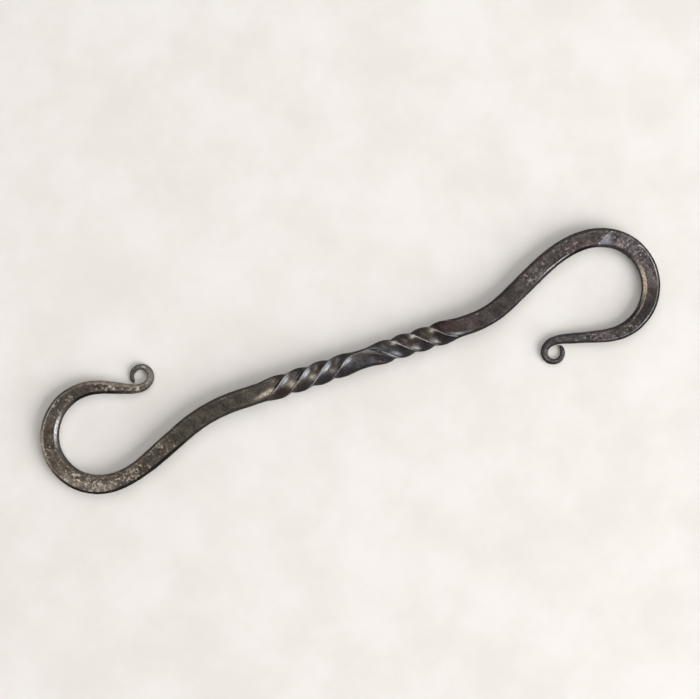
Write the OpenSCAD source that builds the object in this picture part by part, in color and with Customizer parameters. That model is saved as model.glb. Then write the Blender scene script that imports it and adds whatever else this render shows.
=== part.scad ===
// Hand-forged S-hook.
//
// One square bar is twisted one way on the left of its middle and the other way
// on the right. Both ends are drawn down to a taper and bent into a hook, and each
// hook ends in a small curl that turns back out. The hooks are made by hand, so
// the two sides have sizes of their own.
//
// The hook lies flat. +X runs along the twisted middle of the bar, from the left
// hook to the right one, and +Z is up. The origin is on the surface that the
// hook lies on, under the middle of the hook's own box. Sizes are in
// millimetres and angles in degrees.

/* [Bar] */
// Width across the flats of the square bar
bar_w = 8; // [6:0.5:10]
// Width of the narrow flat that the hammer leaves along each edge of the bar
edge_w = 1.5; // [0.8:0.1:2.4]
// Depth that is hammered off the underside to true the hook flat
trued = 0.2; // [0.1:0.05:0.5]

/* [Twist] */
// Plain bar left in the middle, where one twist ends and the other starts
gap_l = 0.4; // [0:0.2:12]
// Length of the twist on the left side
left_twist_l = 44.4; // [30:0.2:60]
// Length of the twist on the right side
right_twist_l = 41.2; // [30:0.2:60]
// Quarter turns in each twist, which bring a flat back on top
quarter_turns = 4; // [2:1:6]
// Length over which a twist starts, and over which it dies away
twist_ease = 8.6; // [2:0.2:12]
// How much thinner the twisting draws the bar by its very middle
drawn = 0.4; // [0:0.1:1]

/* [Left hook] */
// Straight bar between the twist and the neck
left_plain_l = 6.6; // [0:0.2:30]
// Angle of the neck, the bend that sets the hook off to one side
left_neck_angle = 23.5; // [10:0.5:35]
// Radius of the neck
left_neck_r = 63; // [30:1:80]
// Length over which the neck starts, and over which it ends
left_neck_ease = 3; // [1:0.5:8]
// Straight bar between the neck and the bow
left_arm_l = 10; // [2:0.2:30]
// Angle of the bow, the big bend that carries the load
left_bow_angle = 226; // [200:0.5:232]
// Radius of the bow, to the middle of the bar
left_bow_r = 19.4; // [17:0.1:30]
// Length over which the bow starts to bend
left_bow_ease = 30; // [10:0.5:45]
// Straight lip between the bow and the curl
left_lip_l = 4.8; // [4:0.1:20]
// Angle of the curl at the tip
left_curl_angle = 314; // [180:1:318]
// Radius of the curl, to the middle of the bar
left_curl_r = 3.8; // [3.6:0.1:8]
// Length over which the curl starts to bend
left_curl_ease = 13; // [11:0.5:20]

/* [Right hook] */
// Straight bar between the twist and the neck
right_plain_l = 0; // [0:0.2:30]
// Angle of the neck, the bend that sets the hook off to one side
right_neck_angle = 26.5; // [10:0.5:35]
// Radius of the neck
right_neck_r = 39; // [30:1:80]
// Length over which the neck starts, and over which it ends
right_neck_ease = 6; // [1:0.5:8]
// Straight bar between the neck and the bow
right_arm_l = 9.2; // [2:0.2:30]
// Angle of the bow, the big bend that carries the load
right_bow_angle = 220.5; // [200:0.5:232]
// Radius of the bow, to the middle of the bar
right_bow_r = 19.6; // [17:0.1:30]
// Length over which the bow starts to bend
right_bow_ease = 39; // [10:0.5:45]
// Straight lip between the bow and the curl
right_lip_l = 11.3; // [4:0.1:20]
// Angle of the curl at the tip
right_curl_angle = 310; // [180:1:313]
// Radius of the curl, to the middle of the bar
right_curl_r = 3.7; // [3.6:0.1:8]
// Length over which the curl starts to bend
right_curl_ease = 11.5; // [10:0.5:20]

/* [Taper of both ends] */
// Width at the middle of the bow
bow_w = 7.3; // [6:0.1:8]
// Width three quarters of the way round the bow
shoulder_w = 6.8; // [5:0.1:7]
// Width where the bow ends and the lip starts
lip_w = 5; // [3:0.1:6]
// Width where the lip ends and the curl starts
curl_w = 4.1; // [2.5:0.1:5]
// Width half way round the curl
eye_w = 2.8; // [1.6:0.1:3.2]
// Width at the tip
tip_w = 1.6; // [0.8:0.1:2]
// Thickness where the lip starts
lip_t = 5.4; // [4:0.1:7]
// Thickness at the tip
tip_t = 2; // [1.2:0.1:3]

/* [Hidden] */

// Length over which the bow ends
BOW_END_EASE = 9;
// A curl is cut off while it still bends, so it barely eases out
CURL_END_EASE = 0.1;
// How far the borders of an edge's flat are softened to each side
EDGE_SOFT = 0.3;
// Most that the bar bends or twists from one cross section to the next
BEND_STEP = 9;
TWIST_STEP = 15;
// Widest and narrowest spacing of the cross sections
LONG_STEP = 4;
SHORT_STEP = 0.5;
// Half of the length over which a change of taper is smoothed
TAPER_BLEND = 5;
// Length of the rounded end of the tip
TIP_ROUND = 1.6;

// Bends of each side, in order from the middle of the bar outwards:
// [straight bar before it, angle, radius, ease at its start, ease at its end].
// A bend to the left is positive when walking outwards.
LEFT_BENDS = [
    [left_plain_l, left_neck_angle, left_neck_r, left_neck_ease, left_neck_ease],
    [left_arm_l, -left_bow_angle, left_bow_r, left_bow_ease, BOW_END_EASE],
    [left_lip_l, left_curl_angle, left_curl_r, left_curl_ease, CURL_END_EASE],
];
RIGHT_BENDS = [
    [right_plain_l, right_neck_angle, right_neck_r, right_neck_ease, right_neck_ease],
    [right_arm_l, -right_bow_angle, right_bow_r, right_bow_ease, BOW_END_EASE],
    [right_lip_l, right_curl_angle, right_curl_r, right_curl_ease, CURL_END_EASE],
];

function clamp(x, low, high) = max(low, min(high, x));
function reversed(list) = [for (i = [len(list) - 1 : -1 : 0]) list[i]];

// Share of a bend or a twist that is done at place s. Its rate climbs evenly over
// the ease at the start, holds, and falls evenly to nothing over the ease at the end.
function share(s, start, length, ease_in, ease_out) =
    let (
        climb = clamp(s - start, 0, ease_in),
        hold = clamp(s - start - ease_in, 0, length - ease_in - ease_out),
        fall = clamp(s - start - length + ease_out, 0, ease_out)
    )
    (climb * climb / (2 * ease_in) + hold + fall - fall * fall / (2 * ease_out))
        / (length - (ease_in + ease_out) / 2);

// Length of bar that a bend takes.
function bend_l(bend) = abs(bend[1]) * bend[2] * PI / 180 + (bend[3] + bend[4]) / 2;

// Place where bend number i of a side starts, measured along the bar.
function bend_start(bends, twist_l, i) =
    i == 0 ? gap_l / 2 + twist_l + bends[0][0]
    : bend_start(bends, twist_l, i - 1) + bend_l(bends[i - 1]) + bends[i][0];

// A side of the hook: [bends, length of its twist, starts of its bends, whole length].
function side(bends, twist_l) =
    let (starts = [for (i = [0 : len(bends) - 1]) bend_start(bends, twist_l, i)])
    [bends, twist_l, starts, starts[2] + bend_l(bends[2])];

LEFT = side(LEFT_BENDS, left_twist_l);
RIGHT = side(RIGHT_BENDS, right_twist_l);

// A place on the bar is its distance s from the middle: negative on the left side
// and positive on the right side.
function side_of(s) = s < 0 ? LEFT : RIGHT;

// Direction of the bar at place s, as an angle from +X.
function heading(s) =
    let (bends = side_of(s)[0], starts = side_of(s)[2], x = abs(s))
    [for (i = [0 : len(bends) - 1])
        bends[i][1] * share(x, starts[i], bend_l(bends[i]), bends[i][3], bends[i][4])]
    * [for (b = bends) 1];

// Angle that the bar is twisted by at place s. Both ends are held and the middle is
// turned, so the two sides twist opposite ways and their flats meet again.
function twist(s) =
    90 * quarter_turns * share(abs(s), gap_l / 2, side_of(s)[1], twist_ease, twist_ease);

// Outline of the bar, anticlockwise: a rectangle with a narrow flat along each edge,
// whose borders are softened. The flats get narrower with the bar.
function outline(size) =
    let (
        small = min(size),
        cut = min(edge_w / sqrt(2), 0.27 * small),
        soft = min(EDGE_SOFT, 0.08 * small),
        half = size / 2,
        corner = [
            [half.x, half.y - cut - soft],
            [half.x - soft / sqrt(2), half.y - cut + soft / sqrt(2)],
            [half.x - cut + soft / sqrt(2), half.y - soft / sqrt(2)],
            [half.x - cut - soft, half.y],
        ]
    )
    concat(
        corner,
        [for (q = reversed(corner)) [-q.x, q.y]],
        [for (q = corner) -q],
        [for (q = reversed(corner)) [q.x, -q.y]]
    );

// How far a ridge of the twist stands out beyond a flat of the bar.
RIDGE = max([for (q = outline([bar_w, bar_w])) norm(q)]) - bar_w / 2;

// Height of the bar's underside above the trued plane, before the truing. The ridges
// of the twist stand out below the flats, so the twist is carried higher, and each
// neck sets its hook down again.
function lift(s) =
    let (
        start = gap_l / 2 + side_of(s)[1] - twist_ease,
        end = side_of(s)[2][0] + bend_l(side_of(s)[0][0])
    )
    RIDGE * (1 - share(abs(s), start, end - start, twist_ease, twist_ease)) - trued;

// Value at place s of a size that is given at a few places, with the corners
// between its straight stretches smoothed.
function tapered(s, sizes) =
    let (reach = min(TAPER_BLEND, side_of(s)[3] - abs(s)))
    [for (k = [-1 : 0.5 : 1]) lookup(abs(abs(s) + k * reach), sizes)] * [for (k = [0 : 4]) 0.2];

// Size of the square bar at its middle and at the end of a side's twist.
function twisted_table(side) = [[0, bar_w - drawn], [gap_l / 2 + side[1], bar_w]];

function width_table(side) =
    let (bow = side[2][1], bow_l = bend_l(side[0][1]), curl = side[2][2], end = side[3])
    [
        each twisted_table(side),
        [bow, bar_w],
        [bow + bow_l / 2, bow_w],
        [bow + bow_l * 3 / 4, shoulder_w],
        [bow + bow_l, lip_w],
        [curl, curl_w],
        [(curl + end) / 2, eye_w],
        [end, tip_w],
    ];

function thickness_table(side) =
    let (bow = side[2][1], bow_l = bend_l(side[0][1]))
    [each twisted_table(side), [bow, bar_w], [bow + bow_l, lip_t], [side[3], tip_t]];

LEFT_TABLES = [width_table(LEFT), thickness_table(LEFT)];
RIGHT_TABLES = [width_table(RIGHT), thickness_table(RIGHT)];

// Width and thickness of the bar at place s.
function bar_size(s) = [for (table = s < 0 ? LEFT_TABLES : RIGHT_TABLES) tapered(s, table)];

// Scale of the cross section near the very tip, which is rounded over.
function tip_scale(s) =
    let (left_over = min(side_of(s)[3] - abs(s), TIP_ROUND))
    max(0.3, sqrt(1 - pow(1 - left_over / TIP_ROUND, 2)));

// Places of the cross sections of one side, closer where the bar bends or twists.
function spacing(s) =
    let (
        bending = abs(heading(s + 0.5) - heading(s - 0.5)),
        twisting = abs(twist(s + 0.5) - twist(s - 0.5))
    )
    clamp(min(BEND_STEP / (bending + 0.01), TWIST_STEP / (twisting + 0.01)), SHORT_STEP, LONG_STEP);

function places(way, end) =
    [for (x = 0; x < end - TIP_ROUND - 0.2; x = x + spacing(way * (x + 0.01))) way * x,
     for (k = [1, 0.6, 0.3, 0.1, 0]) way * (end - k * TIP_ROUND)];

// Move along the bar from place a to place b, by Simpson's rule.
function dir(s) = [cos(heading(s)), sin(heading(s))];
function hop(a, b) = (b - a) / 6 * (dir(a) + 4 * dir((a + b) / 2) + dir(b));

// Middle of the bar, seen from above, at each place in a list that starts at 0.
function route(s) =
    [for (i = 0, p = [0, 0]; i < len(s); p = i < len(s) - 1 ? p + hop(s[i], s[i + 1]) : p, i = i + 1) p];

// One cross section of the bar, in space.
function ring(s, p) =
    let (
        size = bar_size(s),
        across = [-sin(heading(s)), cos(heading(s))],
        middle = lift(s) + size.y / 2,
        t = twist(s)
    )
    [for (q = outline(size) * tip_scale(s))
        let (
            out = q.x * cos(t) - q.y * sin(t),
            up = q.x * sin(t) + q.y * cos(t)
        )
        [p.x + out * across.x, p.y + out * across.y, max(0, middle + up)]];

LEFT_PLACES = places(-1, LEFT[3]);
RIGHT_PLACES = places(1, RIGHT[3]);
LEFT_ROUTE = route(LEFT_PLACES);
RIGHT_ROUTE = route(RIGHT_PLACES);
RINGS = [
    for (i = [len(LEFT_PLACES) - 1 : -1 : 1]) ring(LEFT_PLACES[i], LEFT_ROUTE[i]),
    for (i = [0 : len(RIGHT_PLACES) - 1]) ring(RIGHT_PLACES[i], RIGHT_ROUTE[i]),
];

// Number of the ring that reaches farthest to the right.
REACH = [for (r = RINGS) max([for (p = r) p.x])];
OUTERMOST = [for (i = [0 : len(REACH) - 1]) if (REACH[i] == max(REACH)) i][0];

// A solid through a list of rings that all have the same number of points. Its faces
// are listed from ring number `start` on, and on each ring from its last side back.
module skin(rings, start) {
    n = len(rings[0]);
    last = len(rings) - 1;
    points = [for (r = rings) each r];
    wall = [for (k = [0 : last - 1], j = [n - 1 : -1 : 0])
        let (
            i = (start + k) % last,
            a = i * n + j,
            b = i * n + (j + 1) % n
        )
        each [[a, b + n, b], [a, a + n, b + n]]];
    first_cap = [for (j = [0 : n - 1]) j];
    last_cap = [for (j = [n - 1 : -1 : 0]) last * n + j];
    polyhedron(points, concat(wall, [first_cap, last_cap]));
}

// Middle of the hook's own outline, seen from above.
MIDDLE = [for (k = [0, 1]) let (all = [for (r = RINGS, p = r) p[k]]) (min(all) + max(all)) / 2];

module s_hook() {
    color([0.31, 0.29, 0.27])
    translate([-MIDDLE.x, -MIDDLE.y, 0])
    skin(RINGS, OUTERMOST);
}

s_hook();
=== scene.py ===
"""Looks of a hand-forged S-hook: a square bar with a reverse twist, two bows and two curled tips.

The bar is one swept surface inside the part's own box. It has the part's bends, twists and taper,
and adds hammer dents, edges of uneven width, pits, a hammer mark on one bow, dark scale, tan
flecks where the scale has come off, and edges that are rubbed brighter. Highlights, reflections
and shade are also painted into its colour: on the edges, on the twist's ridges and faces, in its
grooves and on the hammer mark.

Lengths are in millimetres and angles in degrees, except where a name or a docstring says metres.
Places along the bar are counted from the middle of the twist, positive to the right.
"""

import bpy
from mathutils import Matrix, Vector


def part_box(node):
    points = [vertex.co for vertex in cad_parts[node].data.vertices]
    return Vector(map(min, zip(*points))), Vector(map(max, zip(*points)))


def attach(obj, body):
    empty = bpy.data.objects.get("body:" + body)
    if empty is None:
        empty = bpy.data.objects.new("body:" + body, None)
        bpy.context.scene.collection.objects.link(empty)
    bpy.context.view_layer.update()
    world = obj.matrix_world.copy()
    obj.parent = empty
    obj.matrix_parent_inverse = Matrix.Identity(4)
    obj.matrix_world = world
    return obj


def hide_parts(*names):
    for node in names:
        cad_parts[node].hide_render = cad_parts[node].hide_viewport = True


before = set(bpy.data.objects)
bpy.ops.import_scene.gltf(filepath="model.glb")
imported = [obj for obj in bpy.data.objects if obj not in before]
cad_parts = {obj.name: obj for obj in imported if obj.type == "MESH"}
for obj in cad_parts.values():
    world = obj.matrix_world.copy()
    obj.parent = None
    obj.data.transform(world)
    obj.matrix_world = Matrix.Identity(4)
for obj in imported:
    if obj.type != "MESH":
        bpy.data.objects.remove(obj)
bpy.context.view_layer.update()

import logging
import math
from dataclasses import dataclass, field
from enum import Enum, IntEnum
from itertools import product
from types import SimpleNamespace

import bpy
import numpy as np
from mathutils import Vector

MM = 0.001
NODE = "s_hook"
BODY = "root"
UV_MAP = "OFBake"
ATTRIBUTES = (
    "edge", "side", "pits", "struck", "bare", "soot_and_shade", "rust", "cool", "warm_side", "torn", "shine",
    "gold", "dust_and_highlight", "slit_shade",
)

# The noise's hash: factors for the axes and the seed, rounds of a shift and a factor, the last
# shift, and the masks of a word and of the part that makes the value.
AXIS_FACTORS = (73856093, 19349663, 83492791)
SEED_FACTOR = 2654435761
HASH_ROUNDS = ((15, 2246822519), (13, 3266489917))
LAST_SHIFT = 16
WORD, PART = 0xFFFFFFFF, 0xFFFFFF
# The noise's lattice starts this many cells below zero, and its sums are spread by this gain.
LATTICE_START = 1000
NOISE_GAIN = 1.4

Array = np.ndarray
Object, Material, Node = bpy.types.Object, bpy.types.Material, bpy.types.Node
Tree, Socket, Sockets = bpy.types.NodeTree, bpy.types.NodeSocket, bpy.types.bpy_prop_collection
Colour = tuple[float, float, float, float]
# Rows of marks: a patch is (place, reach, strength) along the bar, a spot on its top is (place,
# side, reach, side reach, strength), and an edge mark is (edge, place, reach, start, stop,
# strength). The edges are numbered anticlockwise, as seen on the way out on the right, from 0
# for the upper one on the left. Start and stop run from 0 to 1 across the edge the same way.
Marks = tuple[tuple[float, ...], ...]

log = logging.getLogger("hook")


class Seed(IntEnum):
    """The seed of everything that is random. The dents take one more for each flat."""

    WANDER = 5
    DENTS = 11
    WAVES = 23
    GRAIN = 31
    PITS = 47
    SPECKLE = 71


# ---- numbers over arrays


def smooth(x: Array, low: float, high: float) -> Array:
    """Smooth step from 0 at low to 1 at high, 3t^2 - 2t^3. It falls where high is below low."""
    t = np.clip((x - low) / (high - low), 0, 1)
    return t * t * (3 - 2 * t)


def bump(x: Array, middle: float, reach: float) -> Array:
    """Bell of height 1 at middle, exp(-(distance / reach)^2)."""
    return np.exp(-(((x - middle) / reach) ** 2))


def lattice_noise(points: Array, cell: float, seed: int) -> Array:
    """Smooth random height at each point, from -1 to 1.

    Every crossing of a cubic lattice gets a value by hashing its three whole numbers. A point
    blends the eight values round it with weights 6t^5 - 15t^4 + 10t^3 along each axis.

    Args:
        points: places, with x, y and z on the last axis.
        cell: spacing of the lattice.
        seed: picks the lattice's values.
    Returns:
        One number for each point.
    """
    place = points / cell + LATTICE_START
    base = np.floor(place).astype(np.int64)
    t = place - base
    t = t * t * t * (t * (6 * t - 15) + 10)
    total = np.zeros(points.shape[:-1])
    for corner in product((0, 1), repeat=3):
        key = (base + np.array(corner)) * np.array(AXIS_FACTORS)
        code = (key[..., 0] ^ key[..., 1] ^ key[..., 2] ^ (seed * SEED_FACTOR)) & WORD
        for shift, factor in HASH_ROUNDS:
            code = ((code ^ (code >> shift)) * factor) & WORD
        value = ((code ^ (code >> LAST_SHIFT)) & PART) / PART * 2 - 1
        total += value * np.prod(np.where(np.array(corner), t, 1 - t), axis=-1)
    return total


def layered_noise(points: Array, cell: float, seed: int, layers: int = 2) -> Array:
    """Sum of noise layers, each of half the cell and half the height of the one before.

    Args:
        points: places, with x, y and z on the last axis.
        cell: cell of the first layer.
        seed: picks the first layer's values.
        layers: how many layers are added up.
    Returns:
        One number for each point, from about -1 to 1.
    """
    shares = [0.5**k for k in range(layers)]
    parts = [lattice_noise(points, cell * part, seed + k) * part for k, part in enumerate(shares)]
    return sum(parts) / sum(shares) * NOISE_GAIN


# ---- meshes


def ring_quads(rows: int, columns: int) -> Array:
    """Corners of the quads between the neighbouring rings of a grid of closed rings.

    Args:
        rows: number of rings.
        columns: points in a ring.
    Returns:
        A row of four corners for each quad.
    """
    i, j = np.arange(rows - 1)[:, None], np.arange(columns)[None, :]
    k = (j + 1) % columns
    here, next_ring = i * columns, (i + 1) * columns
    corners = np.broadcast_arrays(here + j, next_ring + j, next_ring + k, here + k)
    return np.stack(corners, axis=2).reshape(-1, 4)


def fan(columns: int, centre: int, start: int) -> Array:
    """Corners of the triangles from a centre to the ring whose points begin at start."""
    ring = np.arange(columns)
    return np.stack([np.full(columns, centre), start + ring, start + (ring + 1) % columns], axis=1)


def new_object(name: str, vertices: Array, quads: Array, triangles: Array) -> Object:
    """Makes a smooth mesh from whole arrays and puts it in the scene, at the origin.

    Args:
        name: name of the mesh and of the object.
        vertices: places in metres.
        quads: a row of corners for each quad. These faces come first.
        triangles: a row of corners for each triangle.
    Returns:
        The object.
    """
    corners = np.concatenate([quads.ravel(), triangles.ravel()])
    sizes = np.repeat([4, 3], [len(quads), len(triangles)])
    mesh = bpy.data.meshes.new(name)
    mesh.vertices.add(len(vertices))
    mesh.vertices.foreach_set("co", vertices.astype(np.float32).ravel())
    mesh.loops.add(len(corners))
    mesh.loops.foreach_set("vertex_index", corners.astype(np.int32))
    mesh.polygons.add(len(sizes))
    mesh.polygons.foreach_set("loop_start", (np.cumsum(sizes) - sizes).astype(np.int32))
    mesh.polygons.foreach_set("use_smooth", np.ones(len(sizes), bool))
    mesh.update(calc_edges=True)
    mesh.validate()
    obj = bpy.data.objects.new(name, mesh)
    bpy.context.scene.collection.objects.link(obj)
    return obj


# ---- the bar's route


@dataclass(frozen=True)
class Bend:
    """A bend that eases in and out. A turn to the left, walking outwards, is positive."""

    straight: float
    angle: float
    radius: float
    ease_in: float
    ease_out: float

    @property
    def length(self) -> float:
        """Length of bar that the bend takes: its arc, and half of both eases."""
        return abs(math.radians(self.angle)) * self.radius + (self.ease_in + self.ease_out) / 2


def share(x: Array, start: float, length: float, ease_in: float, ease_out: float) -> Array:
    """Share of a bend or twist that is done at x.

    Its rate climbs evenly over ease_in, holds, and falls evenly to nothing over ease_out. The
    share is the rate added up from the start, over its whole sum.

    Args:
        x: distances from the middle of the bar.
        start: where the bend starts.
        length: the length it takes, with both eases.
        ease_in: length of the climb.
        ease_out: length of the fall.
    Returns:
        From 0 before the bend to 1 after it.
    """
    climb = np.clip(x - start, 0, ease_in)
    hold = np.clip(x - start - ease_in, 0, length - ease_in - ease_out)
    fall = np.clip(x - start - length + ease_out, 0, ease_out)
    done = climb**2 / (2 * ease_in) + hold + fall - fall**2 / (2 * ease_out)
    return done / (length - (ease_in + ease_out) / 2)


@dataclass(frozen=True)
class Stock:
    """The bar, and how both ends are drawn down. From bow to tip the sizes are widths."""

    bar: float = 8
    drawn: float = 0.4
    edge: float = 1.5
    soft: float = 0.3
    ridge_soft: float = 0.7
    most_edge: float = 0.27
    most_soft: float = 0.1
    gap: float = 0.4
    turns: float = 360
    twist_ease: float = 8.6
    trued: float = 0.2
    bow: float = 7.3
    shoulder: float = 6.8
    lip: float = 5
    curl: float = 4.1
    eye: float = 2.8
    tip: float = 1.6
    lip_thickness: float = 5.4
    tip_thickness: float = 2
    blend: float = 5
    tip_round: float = 1.6
    tip_end: float = 0.04

    @property
    def ridge(self) -> float:
        """How far a ridge of the twist stands out beyond a flat of the bar."""
        half, cut, soft = self.bar / 2, self.edge / math.sqrt(2), self.soft / math.sqrt(2)
        flat_end = math.hypot(half, half - cut - self.soft)
        return max(flat_end, math.hypot(half - soft, half - cut + soft)) - half


@dataclass(frozen=True)
class Arm:
    """One side of the hook, from the middle of the bar out to its curled tip."""

    twist_length: float
    bends: tuple[Bend, ...]
    stock: Stock

    @property
    def twist_end(self) -> float:
        """Distance from the middle of the bar at which the twist ends."""
        return self.stock.gap / 2 + self.twist_length

    @property
    def starts(self) -> list[float]:
        """Distance from the middle of the bar at which each bend starts."""
        found, x = [], self.twist_end
        for bend in self.bends:
            found.append(x + bend.straight)
            x = found[-1] + bend.length
        return found

    @property
    def length(self) -> float:
        """Length of the whole arm along the bar."""
        return self.starts[-1] + self.bends[-1].length

    def heading(self, x: Array) -> Array:
        """Direction of the bar at distance x, as an angle from +X: the bends' done shares."""
        bends = zip(self.starts, self.bends)
        return sum(b.angle * share(x, start, b.length, b.ease_in, b.ease_out) for start, b in bends)

    def twist(self, x: Array) -> Array:
        """Angle that the bar is twisted by at distance x."""
        ease = self.stock.twist_ease
        return self.stock.turns * share(x, self.stock.gap / 2, self.twist_length, ease, ease)

    def lift(self, x: Array) -> Array:
        """Height of the bar's underside: high enough for the twist's ridges, low in the hook.

        Args:
            x: distances from the middle of the bar.
        Returns:
            One height for every x.
        """
        ease = self.stock.twist_ease
        start = self.twist_end - ease
        length = self.starts[0] + self.bends[0].length - start
        return self.stock.ridge * (1 - share(x, start, length, ease, ease)) - self.stock.trued

    def tapered(self, x: Array, places: list[float], sizes: list[float]) -> Array:
        """A size given at a few places, read off straight lines and smoothed over the blend.

        In the twist it is the size of the bar, drawn a little thinner by the middle.

        Args:
            x: distances from the middle of the bar.
            places: where the size is given past the twist, in order.
            sizes: the size at each of these places.
        Returns:
            The mean of five readings round every x.
        """
        reach = np.minimum(self.stock.blend, self.length - x)
        places = [0, self.twist_end, *places]
        sizes = [self.stock.bar - self.stock.drawn, self.stock.bar, *sizes]
        steps = (-1, -0.5, 0, 0.5, 1)
        return sum(np.interp(np.abs(x + k * reach), places, sizes) for k in steps) / len(steps)

    def width(self, x: Array) -> Array:
        """Width of the bar, seen from above.

        Args:
            x: distances from the middle of the bar.
        Returns:
            One width for every x.
        """
        s, bow, curl = self.stock, self.starts[1], self.starts[2]
        long = self.bends[1].length
        places = [bow, bow + long / 2, bow + long * 0.75, bow + long, curl]
        places += [(curl + self.length) / 2, self.length]
        return self.tapered(x, places, [s.bar, s.bow, s.shoulder, s.lip, s.curl, s.eye, s.tip])

    def thickness(self, x: Array) -> Array:
        """Thickness of the bar, from the underside up.

        Args:
            x: distances from the middle of the bar.
        Returns:
            One thickness for every x.
        """
        s, bow = self.stock, self.starts[1]
        places = [bow, bow + self.bends[1].length, self.length]
        return self.tapered(x, places, [s.bar, s.lip_thickness, s.tip_thickness])

    def scale(self, x: Array) -> Array:
        """Scale of the cross section: a quarter circle over the tip's rounded length."""
        left = np.minimum(self.length - x, self.stock.tip_round) / self.stock.tip_round
        return np.maximum(self.stock.tip_end, np.sqrt(np.maximum(0, 1 - (1 - left) ** 2)))


@dataclass
class Route:
    """The whole bar worked out at a row of places: where it is, and how it lies there."""

    left: Arm
    right: Arm
    count: int
    tip_rings: int = 8
    step: float = 0.02
    s: Array = field(init=False)
    middle: Array = field(init=False)
    heading: Array = field(init=False)
    twist: Array = field(init=False)
    lift: Array = field(init=False)
    width: Array = field(init=False)
    thickness: Array = field(init=False)
    scale: Array = field(init=False)

    def __post_init__(self) -> None:
        """Works out every place, evenly spaced but closer over the two rounded tips."""
        first, last, tip = -self.left.length, self.right.length, self.left.stock.tip_round
        close = tip * (1 - np.cos(np.linspace(0, math.pi / 2, self.tip_rings, endpoint=False)))
        even = np.linspace(first + tip, last - tip, self.count - 2 * self.tip_rings)
        self.s = np.concatenate([first + close, even, last - close[::-1]])
        for name in ("heading", "twist", "lift", "width", "thickness", "scale"):
            setattr(self, name, self.read(name, self.s))
        self.middle = self.walk()

    def read(self, name: str, s: Array) -> Array:
        """Value of one of the arms' methods at every place s of the bar."""
        left, right = getattr(self.left, name), getattr(self.right, name)
        return np.where(s < 0, left(np.maximum(-s, 0)), right(np.maximum(s, 0)))

    def walk(self) -> Array:
        """Middle of the bar from above: the heading's cosine and sine, added up in close steps.

        Returns:
            x and y for every place, from the origin in the middle of the bar.
        """
        step = self.step
        fine = np.arange(-self.left.length - step, self.right.length + 2 * step, step)
        angle = np.radians(self.read("heading", fine))
        route = []
        for part in (np.cos(angle), np.sin(angle)):
            total = np.concatenate([[0], np.cumsum((part[1:] + part[:-1]) / 2 * step)])
            total -= np.interp(0, fine, total)
            route.append(np.interp(self.s, fine, total))
        return np.stack(route, axis=1)


# ---- the bar's cross section


@dataclass(frozen=True)
class Outline:
    """A rectangle whose four edges are flattened, with soft borders, as a table of factors.

    A point's place is the sum of the half width, the half height, the cut of its corner and the
    soft border there, each with its factor. The steps over an edge's own flat are even.
    """

    flat_steps: int = 6
    border_steps: int = 3
    edge_steps: int = 2
    flat_pace: float = 0.22

    def quarter(self) -> Array:
        """Factors of the points from the middle of the right flat to that of the top flat.

        A border is a curve of the second degree from the flat through the sharp corner to the
        edge's own flat, at 45 degrees. The upper half mirrors the lower one.

        Returns:
            For each point a row of four factors for x, and one for y.
        """
        r = 1 / math.sqrt(2)
        start = np.array([[1, 0, 0, 0], [0, 0, 0, 0]], float)
        flat_end = np.array([[1, 0, 0, 0], [0, 1, -1, -1]], float)
        corner = np.array([[1, 0, 0, 0], [0, 1, -1, 0]], float)
        edge = np.array([[1, 0, 0, -r], [0, 1, -1, r]], float)
        flat, border = (
            np.linspace(0, 1, steps, endpoint=False)[:, None, None]
            for steps in (self.flat_steps, self.border_steps)
        )
        over = (np.arange(self.edge_steps // 2 + 1) / self.edge_steps)[:, None, None]
        curve = (1 - border) ** 2 * flat_end + 2 * border * (1 - border) * corner
        curve = curve + border**2 * edge
        bevel = (1 - over) * edge + over * self.swapped(edge[::-1])
        half = np.concatenate([start + flat * (flat_end - start), curve, bevel])
        return np.concatenate([half, self.swapped(half[-2:0:-1, ::-1])])

    def swapped(self, factors: Array) -> Array:
        """The same factors with the half width and the half height in each other's place."""
        return factors[..., [1, 0, 2, 3]]

    def across(self) -> Array:
        """Place of each point of a ring across the nearest edge of the bar.

        Returns:
            From 0 to 1 anticlockwise over the edge, and below 0 and above 1 over the flats.
        """
        steps = 2 * self.border_steps + self.edge_steps
        k = np.arange(2 * self.flat_steps + steps) - self.flat_steps
        past = np.minimum(k, 0) + np.maximum(k - steps, 0)
        return np.tile(past * self.flat_pace + np.clip(k, 0, steps) / steps, 4)

    def ring(self) -> tuple[Array, Array, Array]:
        """Factors of the whole ring, anticlockwise: the quarter, turned by 90 degrees each time.

        Returns:
            x factors, y factors and the number of each point's corner, from 0 to 3.
        """
        table = self.quarter()
        x, y = table[:, 0], table[:, 1]
        turned_x, turned_y = -self.swapped(y), self.swapped(x)
        xs = np.concatenate([x, turned_x, -x, -turned_x])
        ys = np.concatenate([y, turned_y, -y, -turned_y])
        return xs, ys, np.repeat(np.arange(4), len(table))


@dataclass
class Grid:
    """The bar's surface before it is bent, as rings of points round the bar.

    The places s along the bar and the share of the twist are columns, the corner and the place
    across it are rows, and the rest has a value for each point: its place across and up the bar,
    the outward direction, and 1 on a flat and 0 on an edge. The last five are filled in later:
    pits, hammer mark, slits with their painted shade, the place across the bar as it lies, and
    how much it looks up.
    """

    s: Array
    twisted: Array
    corner: Array
    across: Array
    x: Array
    y: Array
    nx: Array
    ny: Array
    flat: Array
    pits: Array | None = None
    struck: Array | None = None
    slit_shade: Array | None = None
    out: Array | None = None
    top: Array | None = None

    @property
    def bar(self) -> Array:
        """Places along, across and up the untwisted bar, on the last axis."""
        return np.stack([np.broadcast_to(self.s, self.x.shape), self.x, self.y], axis=2)


# ---- hammer, fire and wear


def patched(s: Array, patches: Marks) -> Array:
    """Strength of a row of patches at every place, the sum of their bells, at most 1."""
    total = sum(strength * bump(s, place, reach) for place, reach, strength in patches)
    return np.clip(total, 0, 1)


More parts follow.
